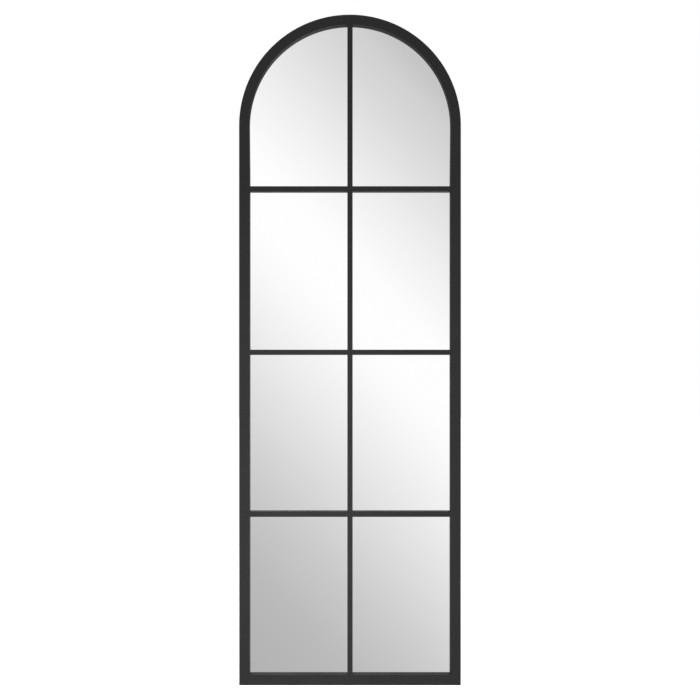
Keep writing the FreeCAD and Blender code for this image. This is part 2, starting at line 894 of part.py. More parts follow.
# ---------------------------------------------------------------- ring hangers
eye_rad = D["wire_rad"] + D["hinge_play"] + D["strap_thick"]
for side_word, side in (("left", -1.0), ("right", 1.0)):
    xc = D["hanger_place"] * side
    half = D["strap_wide"] / 2
    name = side_word + "_hanger_strap"
    strap = new_body(name)
    sk = sketch_on(strap, name + "_outline", "XZ_Plane", -y_strap)
    z_end = z_hinge - D["strap_long"] + half
    outline(
        sk,
        [
            (xc + half, z_hinge),
            (xc - half, z_hinge),
            (xc - half, z_end),
            (xc + half, z_end),
        ],
        {2: (xc, z_end, 1)},
    )
    pad(strap, sk, name + "_plate", D["strap_thick"])
    sk = sketch_on(strap, name + "_eye", "YZ_Plane", xc - half)
    hole(sk, y_hinge, z_hinge, eye_rad, "eye")
    pad(strap, sk, name + "_eye_pad", D["strap_wide"])
    sk = sketch_on(strap, name + "_bore", "YZ_Plane", xc + half + one)
    hole(sk, y_hinge, z_hinge, D["wire_rad"] + D["hinge_play"], "bore")
    pocket(strap, sk, name + "_bore_cut", D["strap_wide"] + two)
    sk = sketch_on(strap, name + "_holes", "XZ_Plane", -y_back + one)
    for i, z in enumerate((screw_one, screw_two)):
        hole(sk, xc, z, D["board_hole"], "s%d" % i)
    pocket(strap, sk, name + "_drilling", D["strap_thick"] + one * 2)
    keep(strap, name)

    # The ring hangs down from its straight side, which lies in the eye.
    name = side_word + "_ring"
    ring = new_body(name)
    path = sketch_on(ring, name + "_path", "XZ_Plane", -y_hinge)
    out, bend = D["ring_half"], D["ring_bend"]
    z_bow = z_hinge - D["ring_reach"] + out
    outline(
        path,
        [
            (xc + out - bend, z_hinge),
            (xc - out + bend, z_hinge),
            (xc - out, z_hinge - bend),
            (xc - out, z_bow),
            (xc + out, z_bow),
            (xc + out, z_hinge - bend),
        ],
        {
            1: (xc - out + bend, z_hinge - bend, 1),
            3: (xc, z_bow, 1),
            5: (xc + out - bend, z_hinge - bend, 1),
        },
    )
    wire = sketch_on(ring, name + "_wire", "YZ_Plane", xc)
    hole(wire, y_hinge, z_hinge, D["wire_rad"], "wire")
    pipe = ring.newObject("PartDesign::AdditivePipe", name + "_sweep")
    pipe.Profile = wire
    pipe.Spine = (path, ["Edge%d" % (i + 1) for i in range(6)])
    keep(ring, name)

# ---------------------------------------------------------------- bumpers
for side_word, side in (("left", -1.0), ("right", 1.0)):
    name = side_word + "_bumper"
    cone = doc.addObject("Part::Cone", name + "_cone")
    bind(cone, "Radius1", D["bumper_rad"])
    bind(cone, "Radius2", D["bumper_tip"])
    bind(cone, "Height", -y_back)
    cone.Placement.Rotation = FreeCAD.Rotation(FreeCAD.Vector(1, 0, 0), -90)
    bind(cone, "Placement.Base.x", D["bumper_place"] * side)
    bind(cone, "Placement.Base.y", y_back)
    bind(cone, "Placement.Base.z", z_low + D["bumper_high"])
    keep(cone, name)

# ---------------------------------------------------------------- checks
doc.recompute()
bad = [
    "%s: %s" % (o.Label, o.State)
    for o in doc.Objects
    if "Invalid" in o.State or "Error" in o.State
]
if bad:
    raise SystemExit("\n".join(bad))

# Groups hold this many separate solids; every other node is one.
counts = {
    "muntin_tape": 7,
    "setting_blocks": 2,
    "board_lugs": len(FIXINGS),
    "board_screws": len(FIXINGS),
    "hanger_screws": len(HANGER_FIXINGS),
}
for name, thing in nodes.items():
    shape = thing.Shape
    if shape.isNull() or not shape.isValid():
        raise SystemExit(name + " has no valid shape")
    if len(shape.Solids) != counts.get(name, 1):
        raise SystemExit("%s has %d solids" % (name, len(shape.Solids)))

ring_path = 2 * (D["ring_half"].value - D["ring_bend"].value)
ring_path += math.pi * D["ring_bend"].value + math.pi * D["ring_half"].value
ring_path += 2 * (
    D["ring_reach"].value - D["ring_half"].value - D["ring_bend"].value
)
ring_volume = ring_path * math.pi * D["wire_rad"].value ** 2
for name in ("left_ring", "right_ring"):
    if abs(nodes[name].Shape.Volume / ring_volume - 1) > 0.01:
        raise SystemExit("%s: %.2f for %.2f" % (name, nodes[name].Shape.Volume, ring_volume))

total = 0.0
for name, thing in nodes.items():
    thing.Shape.exportStep("parts/%s.step" % name)
    b = thing.Shape.BoundBox
    print(
        "%-22s %9.0f mm3  x %8.2f %8.2f  y %7.2f %7.2f  z %9.2f %9.2f"
        % (name, thing.Shape.Volume, b.XMin, b.XMax, b.YMin, b.YMax, b.ZMin, b.ZMax)
    )
    total += thing.Shape.Volume
print("%d nodes, %.0f mm3" % (len(nodes), total))
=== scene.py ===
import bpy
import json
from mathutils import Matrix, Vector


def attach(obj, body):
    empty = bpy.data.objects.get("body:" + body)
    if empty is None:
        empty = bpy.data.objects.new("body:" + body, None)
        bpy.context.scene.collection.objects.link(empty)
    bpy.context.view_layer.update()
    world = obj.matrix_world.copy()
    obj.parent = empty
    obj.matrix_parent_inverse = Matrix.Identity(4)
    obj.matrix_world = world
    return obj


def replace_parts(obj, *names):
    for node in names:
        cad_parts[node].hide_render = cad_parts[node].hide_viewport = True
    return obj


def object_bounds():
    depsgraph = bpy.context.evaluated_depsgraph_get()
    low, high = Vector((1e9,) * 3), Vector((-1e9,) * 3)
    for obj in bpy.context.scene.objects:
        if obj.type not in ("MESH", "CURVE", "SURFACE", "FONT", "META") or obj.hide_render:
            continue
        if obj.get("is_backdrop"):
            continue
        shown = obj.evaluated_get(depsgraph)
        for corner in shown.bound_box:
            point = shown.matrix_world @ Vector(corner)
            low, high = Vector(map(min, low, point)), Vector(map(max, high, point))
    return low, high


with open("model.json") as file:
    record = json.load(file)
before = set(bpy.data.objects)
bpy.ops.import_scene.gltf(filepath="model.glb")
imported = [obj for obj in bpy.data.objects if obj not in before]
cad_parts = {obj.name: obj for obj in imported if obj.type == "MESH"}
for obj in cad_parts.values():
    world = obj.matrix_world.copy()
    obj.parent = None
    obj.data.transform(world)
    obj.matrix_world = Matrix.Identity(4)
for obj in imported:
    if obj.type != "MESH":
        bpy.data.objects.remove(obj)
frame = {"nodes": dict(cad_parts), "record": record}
CAD_LOW, CAD_HIGH = (tuple(p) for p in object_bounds())

import json
import math

import bmesh
import bpy
from mathutils import Matrix, Vector
from mathutils.geometry import delaunay_2d_cdt

nodes = frame["nodes"]
scene = bpy.context.scene
scene.view_settings.view_transform = "Standard"
scene.view_settings.look = "None"

# ---------------------------------------------------------------- camera
# Straight on, level with the middle of the mirror. The photograph is 1.6829 m
# high where it cuts the front of the frame.
FRONT = CAD_LOW[1]
MIDDLE = (CAD_LOW[2] + CAD_HIGH[2]) / 2
REACH = 3.00
cam_data = bpy.data.cameras.new("camera")
cam = bpy.data.objects.new("camera", cam_data)
scene.collection.objects.link(cam)
cam.location = (0.0, FRONT - REACH, MIDDLE)
cam.rotation_euler = (math.radians(90), 0.0, 0.0)
cam_data.sensor_width = 36.0
cam_data.lens = 36.0 * REACH / 1.6829
cam_data.clip_start, cam_data.clip_end = 0.05, 60.0
scene.camera = cam


# ---------------------------------------------------------------- node tools
class Tree:
    """Short names for building a material's nodes."""

    def __init__(self, name):
        self.material = bpy.data.materials.new(name)
        self.material.use_nodes = True
        self.nodes = self.material.node_tree.nodes
        self.links = self.material.node_tree.links
        self.nodes.clear()
        self.out = self.nodes.new("ShaderNodeOutputMaterial")
        self.shader = self.nodes.new("ShaderNodeBsdfPrincipled")
        self.links.new(self.shader.outputs[0], self.out.inputs["Surface"])
        self.place = self.nodes.new("ShaderNodeTexCoord").outputs["Object"]

    def link(self, source, socket):
        self.links.new(source, socket)

    def set(self, **values):
        for key, value in values.items():
            self.shader.inputs[key.replace("_", " ")].default_value = value

    def stretch(self, scale):
        """Object coordinates, scaled along each axis."""
        node = self.nodes.new("ShaderNodeMapping")
        node.inputs["Scale"].default_value = scale
        self.link(self.place, node.inputs["Vector"])
        return node.outputs[0]

    def noise(self, scale, detail=2.0, rough=0.5, vector=None, distortion=0.0):
        node = self.nodes.new("ShaderNodeTexNoise")
        node.inputs["Scale"].default_value = scale
        node.inputs["Detail"].default_value = detail
        node.inputs["Roughness"].default_value = rough
        node.inputs["Distortion"].default_value = distortion
        self.link(vector or self.place, node.inputs["Vector"])
        return node.outputs["Fac"]

    def span(self, value, low, high, to_low, to_high):
        node = self.nodes.new("ShaderNodeMapRange")
        node.inputs["From Min"].default_value = low
        node.inputs["From Max"].default_value = high
        node.inputs["To Min"].default_value = to_low
        node.inputs["To Max"].default_value = to_high
        self.link(value, node.inputs["Value"])
        return node.outputs[0]

    def math(self, kind, a, b):
        node = self.nodes.new("ShaderNodeMath")
        node.operation = kind
        for socket, value in zip(node.inputs, (a, b)):
            if isinstance(value, (int, float)):
                socket.default_value = value
            else:
                self.link(value, socket)
        return node.outputs[0]

    def mix(self, factor, a, b):
        node = self.nodes.new("ShaderNodeMix")
        node.data_type = "RGBA"
        self.link(factor, node.inputs["Factor"])
        for name, value in (("A", a), ("B", b)):
            socket = [s for s in node.inputs if s.name == name and s.type == "RGBA"][0]
            if isinstance(value, tuple):
                socket.default_value = (*value, 1.0)
            else:
                self.link(value, socket)
        return [s for s in node.outputs if s.type == "RGBA"][0]

    def bump(self, height, distance, strength=1.0, under=None):
        node = self.nodes.new("ShaderNodeBump")
        node.inputs["Strength"].default_value = strength
        node.inputs["Distance"].default_value = distance
        self.link(height, node.inputs["Height"])
        if under is not None:
            self.link(under, node.inputs["Normal"])
        return node.outputs[0]

    def colour(self, socket):
        self.link(socket, self.shader.inputs["Base Color"])

    def rough(self, socket):
        self.link(socket, self.shader.inputs["Roughness"])

    def normal(self, socket):
        self.link(socket, self.shader.inputs["Normal"])


# ---------------------------------------------------------------- materials
def powder_coat():
    """Satin black powder: a soft orange peel with a finer grain in it, and a
    little more or less gloss from place to place."""
    t = Tree("black_powder_coat")
    broad = t.noise(7.0, 3.0)
    speck = t.span(t.noise(1500.0, 2.0, 0.6), 0.62, 0.78, 0.0, 0.8)
    base = t.mix(broad, (0.0098, 0.0098, 0.0101), (0.0128, 0.0128, 0.0131))
    t.colour(t.mix(t.math("MULTIPLY", speck, 0.35), base, (0.028, 0.028, 0.029)))
    patch = t.span(t.noise(26.0, 3.0), 0.3, 0.7, -0.025, 0.025)
    t.rough(t.math("ADD", patch, t.span(t.noise(700.0, 2.0), 0.3, 0.7, 0.41, 0.49)))
    peel = t.bump(t.noise(520.0, 1.0, 0.4), 0.000022, 0.8)
    t.normal(t.bump(t.noise(2600.0, 2.0, 0.6), 0.000005, 0.8, peel))
    t.set(IOR=1.45, Specular_IOR_Level=0.25)
    return t.material


def mirror():
    """Silvered glass: neutral, with the faintest haze of dust on it."""
    t = Tree("silvered_glass")
    t.set(Metallic=1.0)
    t.colour(t.mix(t.noise(3.0), (0.955, 0.958, 0.957), (0.962, 0.963, 0.963)))
    dust = t.span(t.noise(240.0, 5.0, 0.7), 0.62, 0.86, 0.0, 0.022)
    t.rough(dust)
    return t.material


def tape():
    t = Tree("black_tape")
    t.colour(t.mix(t.noise(800.0, 4.0), (0.010, 0.010, 0.010), (0.022, 0.022, 0.022)))
    t.rough(t.span(t.noise(300.0), 0.3, 0.7, 0.75, 0.9))
    t.normal(t.bump(t.noise(1800.0, 3.0), 0.0001, 0.6))
    return t.material


def foam():
    t = Tree("grey_foam")
    t.colour(t.mix(t.noise(500.0, 4.0), (0.52, 0.53, 0.54), (0.68, 0.69, 0.70)))
    t.rough(t.span(t.noise(300.0), 0.3, 0.7, 0.85, 0.95))
    t.normal(t.bump(t.noise(1200.0, 3.0), 0.0003, 0.8))
    return t.material


def hardboard():
    """Pressed wood fibre: a warm brown felt of short fibres lying every way,
    dark and pale flecks, slow clouds, and a few faint rubs."""
    t = Tree("brown_hardboard")
    felt = t.noise(700.0, 7.0, 0.78, None, 2.2)
    base = t.mix(t.span(felt, 0.34, 0.66, 0.0, 1.0), (0.070, 0.033, 0.0145), (0.215, 0.112, 0.052))
    strand = t.noise(330.0, 3.0, 0.6, t.stretch((0.45, 1.0, 1.0)), 2.6)
    base = t.mix(t.span(strand, 0.60, 0.72, 0.0, 0.45), base, (0.250, 0.140, 0.068))
    fleck = t.span(t.noise(1300.0, 3.0, 0.7, t.stretch((0.6, 1.0, 0.6)), 1.0), 0.64, 0.72, 0.0, 0.80)
    base = t.mix(fleck, base, (0.036, 0.017, 0.008))
    cloud = t.noise(4.5, 4.0, 0.6)
    base = t.mix(t.span(cloud, 0.35, 0.72, 0.0, 0.38), base, (0.078, 0.038, 0.017))
    rub = t.noise(11.0, 6.0, 0.72, t.stretch((1.0, 1.0, 0.22)), 1.2)
    base = t.mix(t.span(rub, 0.64, 0.80, 0.0, 0.30), base, (0.300, 0.180, 0.098))
    t.colour(base)
    t.rough(t.span(felt, 0.35, 0.65, 0.50, 0.70))
    press = t.bump(t.noise(45.0, 2.0), 0.00008, 0.5)
    t.normal(t.bump(felt, 0.00006, 0.8, press))
    return t.material


def zinc():
    """Bright zinc plate: blue white, dulled in patches, fine scratches."""
    t = Tree("zinc_plate")
    t.set(Metallic=1.0)
    dull = t.span(t.noise(160.0, 5.0, 0.65), 0.38, 0.66, 0.0, 1.0)
    base = t.mix(dull, (0.72, 0.735, 0.755), (0.50, 0.505, 0.50))
    stain = t.span(t.noise(70.0, 4.0, 0.6), 0.58, 0.74, 0.0, 0.45)
    t.colour(t.mix(stain, base, (0.52, 0.47, 0.37)))
    scratch = t.noise(900.0, 3.0, 0.6, t.stretch((1.0, 1.0, 0.12)))
    t.rough(t.math("ADD", t.span(dull, 0.0, 1.0, 0.0, 0.13), t.span(scratch, 0.35, 0.65, 0.20, 0.30)))
    grain = t.bump(t.noise(2400.0, 3.0), 0.000012, 0.7)
    t.normal(t.bump(scratch, 0.000010, 0.8, grain))
    return t.material


def rubber():
    """Moulded rubber with a dusty bloom."""
    t = Tree("black_rubber")
    bloom = t.span(t.noise(220.0, 4.0, 0.6), 0.42, 0.72, 0.0, 0.6)
    t.colour(t.mix(bloom, (0.011, 0.011, 0.011), (0.036, 0.035, 0.034)))
    t.rough(t.span(t.noise(400.0), 0.3, 0.7, 0.52, 0.72))
    t.normal(t.bump(t.noise(1500.0, 2.0), 0.00004, 0.6))
    return t.material


MATERIALS = {
    "black_powder_coat": powder_coat(),
    "mirror": mirror(),
    "black_tape": tape(),
    "foam": foam(),
    "board": hardboard(),
    "zinc_plate": zinc(),
    "black_rubber": rubber(),
}
for part in frame["record"]["subparts"]:
    obj = nodes[part["node"]]
    obj.data.materials.clear()
    obj.data.materials.append(MATERIALS[part["material_slot"]])

# ---------------------------------------------------------------- sizes, metres
HALF = 0.2667
SPRING = 0.0562
LEG = -0.0638
SIGHT = 0.2413
ARCH_IN = 0.2425
LOW = -1.2900
RAIL = -1.2646
Y_FRONT, Y_TUBE, Y_GLASS, Y_FOAM, Y_BOARD, Y_BACK, Y_RIM = (
    -0.0300, -0.0173, -0.0165, -0.0125, -0.0110, -0.0080, -0.0010
)
WALL = 0.0012
ROUND = 0.0008
RIM = 0.0030
STEPS = 180


# ---------------------------------------------------------------- mesh tools
def make(name, bm, slot, body="frame", sharp=28.0, weighted=True):
    """The finished mesh as a piece that rides on a body, shaded smooth up to
    the sharp angle, with its flat faces kept flat."""
    bmesh.ops.recalc_face_normals(bm, faces=bm.faces)
    mesh = bpy.data.meshes.new(name)
    bm.to_mesh(mesh)
    bm.free()
    for face in mesh.polygons:
        face.use_smooth = True
    mesh.set_sharp_from_angle(angle=math.radians(sharp))
    obj = bpy.data.objects.new(name, mesh)
    scene.collection.objects.link(obj)
    if weighted:
        even = obj.modifiers.new("even", "WEIGHTED_NORMAL")
        even.keep_sharp = True
        even.weight = 90
    mesh.materials.append(MATERIALS[slot])
    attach(obj, body)
    return obj


def bridge(bm, loops, closed_loop=True, closed_path=False):
    """Faces between each loop of vertices and the next."""
    rings = [[bm.verts.new(p) for p in loop] for loop in loops]
    count = len(rings[0])
    last = len(rings) if closed_path else len(rings) - 1
    for i in range(last):
        a, b = rings[i], rings[(i + 1) % len(rings)]
        for j in range(count if closed_loop else count - 1):
            k = (j + 1) % count
            bm.faces.new((a[j], a[k], b[k], b[j]))
    return rings


def arc(cx, cz, radius, start, end, steps):
    return [
        (
            cx + radius * math.cos(math.radians(start + (end - start) * i / steps)),
            cz + radius * math.sin(math.radians(start + (end - start) * i / steps)),
        )
        for i in range(steps + 1)
    ]


def window(half, foot, rise=12):
    """A sheet's outline that follows the frame, as (x, z) points."""
    up = [(-half, foot + (SPRING - foot) * i / rise) for i in range(rise)]
    down = [(half, z) for x, z in reversed(up)]
    over = arc(0.0, SPRING, half, 180.0, 0.0, STEPS)
    low = [(half - 2 * half * i / 6, foot) for i in range(1, 6)]
    return up + over + down + low


def plate(bm, outline, y0, y1, edge, holes=()):
    """A flat sheet between y0 and y1. outline(inset) gives its edge, and edge
    is the width of the small bevel round both faces. holes are loops."""
    levels = ((y0, edge), (y0 + edge, 0.0), (y1 - edge, 0.0), (y1, edge))
    rings = bridge(bm, [[(x, y, z) for x, z in outline(inset)] for y, inset in levels])
    drilled = [bridge(bm, [[(x, y, z) for x, z in hole] for y in (y0, y1)]) for hole in holes]
    for at in (0, -1):
        corners = list(rings[at])
        loops = [list(range(len(corners)))]
        for pair in drilled:
            start = len(corners)
            corners += pair[at]
            loops.append(list(range(start, len(corners))))
        flat = [Vector((v.co.x, v.co.z)) for v in corners]
        found = delaunay_2d_cdt(flat, [], loops, 3, 1e-9)
        back = [source[0] for source in found[3]]
        for face in found[2]:
            bm.faces.new([corners[back[i]] for i in face])


def lathe(bm, profile, centre, steps, axis="y"):
    """Turns (radius, y) points about a line along Y through centre (x, z). A
    point of radius nought closes the end."""
    x0, z0 = centre
    loops, tips = [], []
    for radius, y in profile:
        if radius < 1e-9:
            tips.append((len(loops), bm.verts.new((x0, y, z0))))
        else:
            loops.append([(x0 + radius * math.cos(t), y, z0 + radius * math.sin(t)) for t in (2 * math.pi * i / steps for i in range(steps))])
    rings = bridge(bm, loops)
    for at, tip in tips:
        ring = rings[0] if at == 0 else rings[-1]
        for i in range(steps):
            bm.faces.new((ring[i], ring[(i + 1) % steps], tip))
    return rings


def swept(bm, path, section, closed=False):
    """A rod along path, a list of (point, along, side, up). section is a list
    of (side, up) offsets."""
    loops = [[tuple(p + s * a + u * b for p, s, u in zip(point, side, up)) for a, b in section] for point, side, up in path]
    rings = bridge(bm, loops, closed_path=closed)
    if not closed:
        bm.faces.new(list(reversed(rings[0])))
        bm.faces.new(rings[-1])
    return rings


# ---------------------------------------------------------------- the bent tube
def tube_section(face, rounding, inset):
    """(across, y) points round the tube, across from its inner edge."""
    lo, hi = inset, face - inset
    front, rear = Y_FRONT + inset, Y_TUBE - inset
    pts = [(lo, rear)]
    pts += [(lo + rounding - rounding * math.cos(a), front + rounding - rounding * math.sin(a)) for a in (math.radians(15 * i) for i in range(7))]
    pts += [(hi - rounding + rounding * math.sin(a), front + rounding - rounding * math.cos(a)) for a in (math.radians(15 * i) for i in range(7))]
    pts += [(hi, rear)]
    return pts


def arch_stations():
    """(inner point, outward direction, face width) along the bent tube."""
    full = HALF - SIGHT
    narrow = HALF - ARCH_IN
    left = []
    for i in range(8):
        t = i / 8
        face = full + (narrow - full) * t
        left.append(((-HALF + face, LEG + (SPRING - LEG) * t), (-1.0, 0.0), face))
    over = []
    for i in range(STEPS + 1):
        a = math.radians(180 - 180 * i / STEPS)
        c, s = math.cos(a), math.sin(a)
        over.append(((ARCH_IN * c, SPRING + ARCH_IN * s), (c, s), narrow))
    right = [((-p[0], p[1]), (1.0, 0.0), f) for p, d, f in reversed(left)]
    return left + over + right


bm = bmesh.new()
skins = []
for rounding, inset in ((ROUND, 0.0), (0.0003, WALL)):
    loops = []
    for (x, z), (dx, dz), face in arch_stations():
        loops.append([(x + dx * t, y, z + dz * t) for t, y in tube_section(face, rounding, inset)])
    skins.append(bridge(bm, loops))
for end in (0, -1):
    a, b = skins[0][end], skins[1][end]
    for i in range(len(a)):
        k = (i + 1) % len(a)
        bm.faces.new((a[i], a[k], b[k], b[i]))
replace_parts(make("arch_tube_coated", bm, "black_powder_coat"), "arch_tube")

# The rim over the arch.
bm = bmesh.new()
r = 0.0005
turn = [math.radians(22.5 * i) for i in range(5)]
section = [(0.0, Y_TUBE)]
section += [(r - r * math.cos(a), Y_RIM - r + r * math.sin(a)) for a in turn]
section += [(RIM - r + r * math.sin(a), Y_RIM - r + r * math.cos(a)) for a in turn]
section += [(RIM, Y_TUBE)]
loops = []
for i in range(STEPS + 1):
    a = math.radians(180 - 180 * i / STEPS)
    c, s = math.cos(a), math.sin(a)
    loops.append([((HALF - RIM + t) * c, y, SPRING + (HALF - RIM + t) * s) for t, y in section])
rings = bridge(bm, loops)
bm.faces.new(list(reversed(rings[0])))
bm.faces.new(rings[-1])
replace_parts(make("arch_rim_coated", bm, "black_powder_coat"), "arch_rim")

# ---------------------------------------------------------------- the sheets
bm = bmesh.new()
GLASS_HALF, GLASS_FOOT = SIGHT + 0.0062, RAIL - 0.0062
plate(bm, lambda c: window(GLASS_HALF - c, GLASS_FOOT + c), Y_GLASS, Y_FOAM, 0.0005)
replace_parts(make("mirror_sheet", bm, "mirror"), "mirror_glass")

bm = bmesh.new()
plate(bm, lambda c: window(GLASS_HALF - 0.0015 - c, GLASS_FOOT + 0.0015 + c), Y_FOAM, Y_BOARD, 0.0003)
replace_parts(make("foam_underlay", bm, "foam"), "foam_sheet")

# Tape round the glass: the sheet's outline outside and inside.
bm = bmesh.new()
tape_out = window(SIGHT + 0.0060, RAIL - 0.0060)
tape_in = window(SIGHT + 0.0005, RAIL - 0.0005)
bridge(
    bm,
    [
        [(x, Y_TUBE, z) for x, z in tape_out],
        [(x, Y_GLASS, z) for x, z in tape_out],
        [(x, Y_GLASS, z) for x, z in tape_in],
        [(x, Y_TUBE, z) for x, z in tape_in],
    ],
    closed_path=True,
)
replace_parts(make("glazing_tape_ring", bm, "black_tape"), "glazing_tape")

# The board, drilled for its screws and the hangers'.
LINE = HALF - 0.0092
FIXINGS = [(side * LINE, z) for z in (-1.226, -0.906, -0.586, -0.266) for side in (-1, 1)]
FIXINGS += [(-0.150, LOW + 0.0092), (0.150, LOW + 0.0092)]
FIXINGS += [(LINE * math.cos(math.radians(a)), SPRING + LINE * math.sin(math.radians(a))) for a in (14, 52, 90, 128, 166)]
HANGER_X, HINGE_Z, HINGE_Y = 0.2545, -0.0105, -0.0052
HANGER_FIXINGS = [(side * HANGER_X, HINGE_Z - drop) for side in (-1, 1) for drop in (0.0210, 0.0355)]
BOARD_HALF, BOARD_FOOT = HALF - RIM - 0.0010, LOW + RIM + 0.0010
bm = bmesh.new()
holes = [arc(x, z, 0.00225, 0.0, 345.0, 23) for x, z in FIXINGS + HANGER_FIXINGS]
plate(bm, lambda c: window(BOARD_HALF - c, BOARD_FOOT + c), Y_BOARD, Y_BACK, 0.0003, holes)
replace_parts(make("hardboard_back", bm, "board"), "backing_board")

# ---------------------------------------------------------------- screws
def solid_object(bm, name):
    mesh = bpy.data.meshes.new(name)
    bmesh.ops.recalc_face_normals(bm, faces=bm.faces)
    bm.to_mesh(mesh)
    bm.free()
    obj = bpy.data.objects.new(name, mesh)
    scene.collection.objects.link(obj)
    return obj


def cross_outline(a, b, notch, y):
    """A cross recess's outline: arms b long and 2a wide, inner corners cut."""
    quarter = [(b, -a), (b, a), (a + notch, a), (a, a + notch)]
    pts = []
    for turn in range(4):
        c, s = round(math.cos(turn * math.pi / 2)), round(math.sin(turn * math.pi / 2))
        pts += [(u * c - v * s, y, u * s + v * c) for u, v in quarter]
    return pts


def screw_master(name, length):
    """A pan-head screw about the Y axis, its head's underside at y = 0: a low
    dome with a tapered cross recess, and a ridged shank towards -Y."""
    mm = 0.001
    profile = [(0.0, 2.4), (1.0, 2.39), (1.9, 2.35), (2.6, 2.26)]
    profile += [(2.75 + 1.25 * math.sin(math.radians(t)), 0.98 + 1.25 * math.cos(math.radians(t))) for t in (10, 25, 40, 55, 70, 82)]
    profile += [(4.0, 0.85), (4.0, 0.16), (3.88, 0.0), (1.85, 0.0), (1.62, -0.25)]
    y = -0.45
    while y > -(length / mm) + 0.9:
        profile += [(1.62, y), (1.95, y - 0.3), (1.95, y - 0.36), (1.62, y - 0.66)]
        y -= 0.7
    profile += [(1.5, -length / mm + 0.12), (1.38, -length / mm), (0.0, -length / mm)]
    bm = bmesh.new()
    lathe(bm, [(r * mm, y * mm) for r, y in profile], (0.0, 0.0), 48)
    body = solid_object(bm, name)
    bm = bmesh.new()
    loops = [cross_outline(a * mm, b * mm, n * mm, y * mm) for a, b, n, y in ((0.50, 2.25, 0.30, 2.6), (0.40, 0.95, 0.22, 0.85), (0.10, 0.22, 0.05, 0.45))]
    rings = bridge(bm, loops)
    bm.faces.new(list(reversed(rings[0])))
    bm.faces.new(rings[-1])
    cutter = solid_object(bm, name + "_cutter")
    cut = body.modifiers.new("recess", "BOOLEAN")
    cut.operation, cut.solver, cut.object = "DIFFERENCE", "EXACT", cutter
    bpy.context.view_layer.update()
    seen = body.evaluated_get(bpy.context.evaluated_depsgraph_get())
    mesh = bpy.data.meshes.new_from_object(seen)
    for old in (body, cutter):
        bpy.data.objects.remove(old)
    return mesh


def place_screws(name, master, places, y):
    """Copies of the master at (x, z), each turned as its tightening left it."""
    bm = bmesh.new()
    for i, (x, z) in enumerate(places):
        turn = Matrix.Rotation(math.radians((37 * i * i + 11 * i + 20) % 90), 4, "Y")
        copy = master.copy()
        copy.transform(Matrix.Translation((x, y, z)) @ turn)
        bm.from_mesh(copy)
        bpy.data.meshes.remove(copy)
    return make(name, bm, "zinc_plate", sharp=32.0)


Y_STRAP = Y_BACK + 0.0012
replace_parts(place_screws("board_pan_screws", screw_master("m4x8", 0.008), FIXINGS, Y_BACK), "board_screws")
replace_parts(place_screws("hanger_pan_screws", screw_master("m4x10", 0.010), HANGER_FIXINGS, Y_STRAP), "hanger_screws")

# ---------------------------------------------------------------- ring hangers
STRAP_HALF, STRAP_THICK, STRAP_LONG = 0.0048, 0.0012, 0.0420
WIRE, PLAY = 0.00125, 0.00006
CURL = WIRE + PLAY + STRAP_THICK / 2
PLATE_MID = Y_BACK + STRAP_THICK / 2 - HINGE_Y


def strap_line():
    """The middle of the strip, seen from the side, as (along, y, z, normal y,
    normal z) about the hinge. It runs up the plate, eases in to the wire, and
    is rolled round it until its end nearly meets the plate again."""
    bend = 0.0030
    pts = [(PLATE_MID + (-CURL - PLATE_MID) * (t * t * (3 - 2 * t)), -bend + bend * t) for t in (i / 8 for i in range(8))]
    pts += arc(0.0, 0.0, CURL, 180.0, -124.0, 44)
    line, along = [], STRAP_LONG - bend
    for i, (y, z) in enumerate(pts):
        before, after = pts[max(i - 1, 0)], pts[min(i + 1, len(pts) - 1)]
        ty, tz = after[0] - before[0], after[1] - before[1]
        size = math.hypot(ty, tz)
        if i:
            along += math.hypot(y - pts[i - 1][0], z - pts[i - 1][1])
        line.append((along, y, z, tz / size, -ty / size))
    return line


def strap(name, xc):
    """The flat blank, rounded at its foot and drilled, then rolled."""
    line = strap_line()
    foot = arc(0.0, STRAP_HALF, STRAP_HALF, 0.0, -180.0, 28)
    blank = foot + [(-STRAP_HALF, at[0]) for at in line] + [(STRAP_HALF, at[0]) for at in reversed(line)]
    first = len(foot)
    cross = [(first + i, first + 2 * len(line) - 1 - i) for i in range(len(line))]
    loops = [list(range(len(blank)))]
    points = list(blank)
    for drop in (0.0210, 0.0355):
        start = len(points)
        points += arc(0.0, STRAP_LONG - drop, 0.00225, 0.0, 345.0, 23)
        loops.append(list(range(start, len(points))))
    found = delaunay_2d_cdt([Vector(p) for p in points], cross, loops, 3, 1e-9)
    back = [source[0] for source in found[3]]

    def bent(u, s, off):
        """Where a point of the blank comes, off from the strip's middle."""
        if s <= line[0][0]:
            y, z, ny, nz = PLATE_MID, s - STRAP_LONG, 1.0, 0.0
        else:
            i = max(k for k in range(len(line)) if line[k][0] <= s + 1e-12)
            y, z, ny, nz = line[i][1:]
        return (xc + u, HINGE_Y + y + ny * off, HINGE_Z + z + nz * off)

    bm = bmesh.new()
    sides = [[bm.verts.new(bent(u, s, off)) for u, s in points] for off in (-STRAP_THICK / 2, STRAP_THICK / 2)]
    for side in sides:
        for face in found[2]:
            bm.faces.new([side[back[i]] for i in face])
    for loop in loops:
        for i, a in enumerate(loop):
            b = loop[(i + 1) % len(loop)]
            bm.faces.new((sides[0][a], sides[0][b], sides[1][b], sides[1][a]))
    obj = make(name, bm, "zinc_plate", sharp=40.0, weighted=False)
    soft = obj.modifiers.new("edges", "BEVEL")
    soft.width, soft.segments, soft.limit_method, soft.angle_limit = 0.00012, 2, "ANGLE", math.radians(50)
    even = obj.modifiers.new("even", "WEIGHTED_NORMAL")
    even.keep_sharp = True
    return obj


